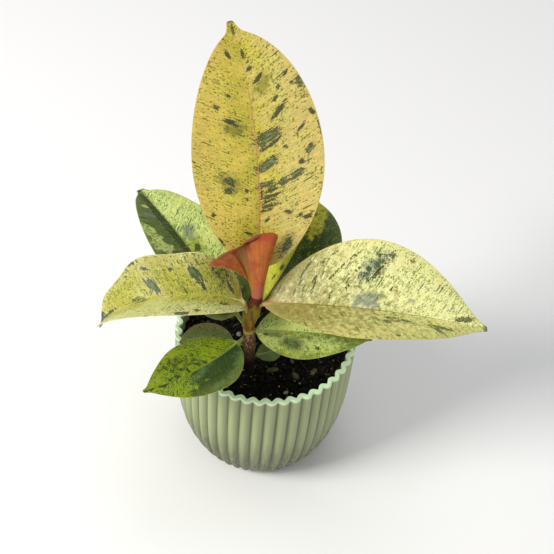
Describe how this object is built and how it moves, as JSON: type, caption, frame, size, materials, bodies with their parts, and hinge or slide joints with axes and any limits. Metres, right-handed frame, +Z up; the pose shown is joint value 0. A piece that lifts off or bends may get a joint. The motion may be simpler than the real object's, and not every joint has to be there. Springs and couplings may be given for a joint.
{
  "type": "potted rubber plant",
  "caption": "Young variegated rubber plant with pale speckled leaves and a coppery new leaf, rooted in potting mix in a small fluted plastic pot with a scalloped rim.",
  "frame": {"origin": "centre of the pot's flat underside, on the surface that it stands on", "axes": "+Z up, along the pot's axis; the plant's front, from which it is mostly seen, faces -Y; +X to the right"},
  "size_m": [0.1285, 0.0835, 0.1659],
  "materials": {
    "pot_plastic": "matt sage green moulding with paler edges",
    "potting_mix": "damp crumbly peat and coir",
    "young_bark": "thin bark, olive above and dark brown below",
    "pale_leaf": "waxy straw-yellow leaf with dark green speckles",
    "green_leaf": "waxy green leaf marbled in two greens",
    "coppery_leaf": "soft satin copper-red young leaf",
    "bark": "rough dry bark",
    "perlite": "matt white porous grain"
  },
  "bodies": {
    "root": {"pot": "pot_plastic", "soil": "potting_mix", "stem": "young_bark", "upright_leaf": "pale_leaf", "right_leaf": "pale_leaf", "left_leaf": "pale_leaf", "back_left_leaf": "green_leaf", "back_right_leaf": "green_leaf", "front_left_leaf": "green_leaf", "low_left_leaf": "green_leaf", "low_right_leaf": "green_leaf", "small_leaf": "green_leaf", "new_leaf": "coppery_leaf", "bark_chip_1": "bark", "bark_chip_2": "bark", "bark_chip_3": "bark", "bark_chip_4": "bark", "bark_chip_5": "bark", "perlite_1": "perlite", "perlite_2": "perlite", "perlite_3": "perlite"}
  },
  "joints": []
}
